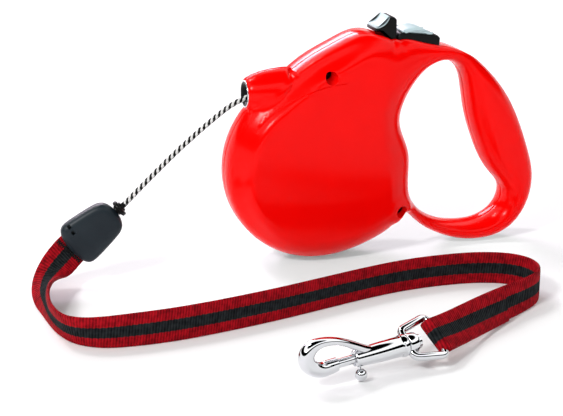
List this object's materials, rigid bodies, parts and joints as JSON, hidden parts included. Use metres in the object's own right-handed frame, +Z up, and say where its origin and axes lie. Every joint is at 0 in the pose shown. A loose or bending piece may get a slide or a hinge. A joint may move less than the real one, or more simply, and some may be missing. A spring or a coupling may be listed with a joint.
{
  "type": "retractable leash",
  "caption": "Retractable dog leash: hollow case with loop grip, sprung reel, thumb brake and lock, braided cord, striped tape and a swivelling bolt snap hook.",
  "frame": {"origin": "on the floor, under the middle of the case as it stands on its belly and the bottom of its grip", "axes": "+X from the cord outlet towards the hand grip, +Y across the thickness away from the face with the screw heads, +Z up"},
  "size_m": [0.2644, 0.1694, 0.1212],
  "materials": {
    "shell_red": "glossy",
    "black_plastic": "satin",
    "grey_plastic": "satin",
    "connector_grey": "fine grain",
    "reel_plastic": "moulded",
    "steel": "plain",
    "spring_steel": "blued",
    "chrome": "polished",
    "cord_braid": "black and white braid",
    "tape_web": "ribbed webbing with a black centre stripe"
  },
  "bodies": {
    "housing": {"shell_near": "shell_red", "shell_far": "shell_red", "case_screws": "steel", "outlet_bush": "black_plastic", "outlet_ring": "chrome", "spring_arbor": "reel_plastic", "reel_axle": "steel", "lever_pin": "steel", "brake_spring": "spring_steel", "power_spring": "spring_steel", "cord_lead": "cord_braid", "cord": "cord_braid", "cord_tail": "cord_braid", "cord_knot": "cord_braid", "cord_collar": "black_plastic", "connector_front": "connector_grey", "connector_back": "connector_grey", "tape_pin": "steel", "tape": "tape_web"},
    "reel": {"reel_drum": "reel_plastic", "spring_cover": "reel_plastic", "cord_winding": "cord_braid"},
    "brake_button": {"brake_button": "black_plastic", "brake_pad": "grey_plastic"},
    "brake_lever": {"brake_lever": "black_plastic"},
    "lock_slider": {"lock_slider": "black_plastic", "lock_insert": "grey_plastic"},
    "hook_eye": {"hook_eye": "chrome"},
    "hook": {"hook_body": "chrome", "bolt_spring": "spring_steel"},
    "bolt": {"hook_bolt": "chrome", "bolt_knob": "chrome"}
  },
  "joints": [
    {"name": "reel_spin", "type": "hinge", "parent": "housing", "child": "reel", "pos_m": [-0.03525, 0, 0.04746], "axis": [0, 1, 0], "continuous": true},
    {"name": "brake_press", "type": "slide", "parent": "housing", "child": "brake_button", "axis": [0, 0, -1], "range_m": [0, 0.003], "stiffness_N_per_m": 900, "springref_m": -0.002, "deforming": ["brake_spring"]},
    {"name": "lever_turn", "type": "hinge", "parent": "housing", "child": "brake_lever", "pos_m": [-0.018, 0, 0.09], "axis": [0, 1, 0], "range_deg": [0, 5.6]},
    {"name": "lock_slide", "type": "slide", "parent": "housing", "child": "lock_slider", "axis": [-1, 0, 0], "range_m": [0, 0.004]},
    {"name": "eye_swing", "type": "hinge", "parent": "housing", "child": "hook_eye", "pos_m": [-0.029, -0.136, 0.011], "axis": [-0.1825, 0.8189, 0.5442], "range_deg": [0, 40]},
    {"name": "hook_swivel", "type": "hinge", "parent": "hook_eye", "child": "hook", "pos_m": [-0.029, -0.136, 0.011], "axis": [-0.9805, -0.1929, -0.0384], "continuous": true},
    {"name": "bolt_slide", "type": "slide", "parent": "hook", "child": "bolt", "axis": [0.9805, 0.1929, 0.0384], "range_m": [0, 0.0075], "stiffness_N_per_m": 300, "springref_m": -0.003, "deforming": ["bolt_spring"]}
  ],
  "couplings": [
    {"joint": "lever_turn", "follows": "brake_press", "rad_per_m": 31.25}
  ]
}
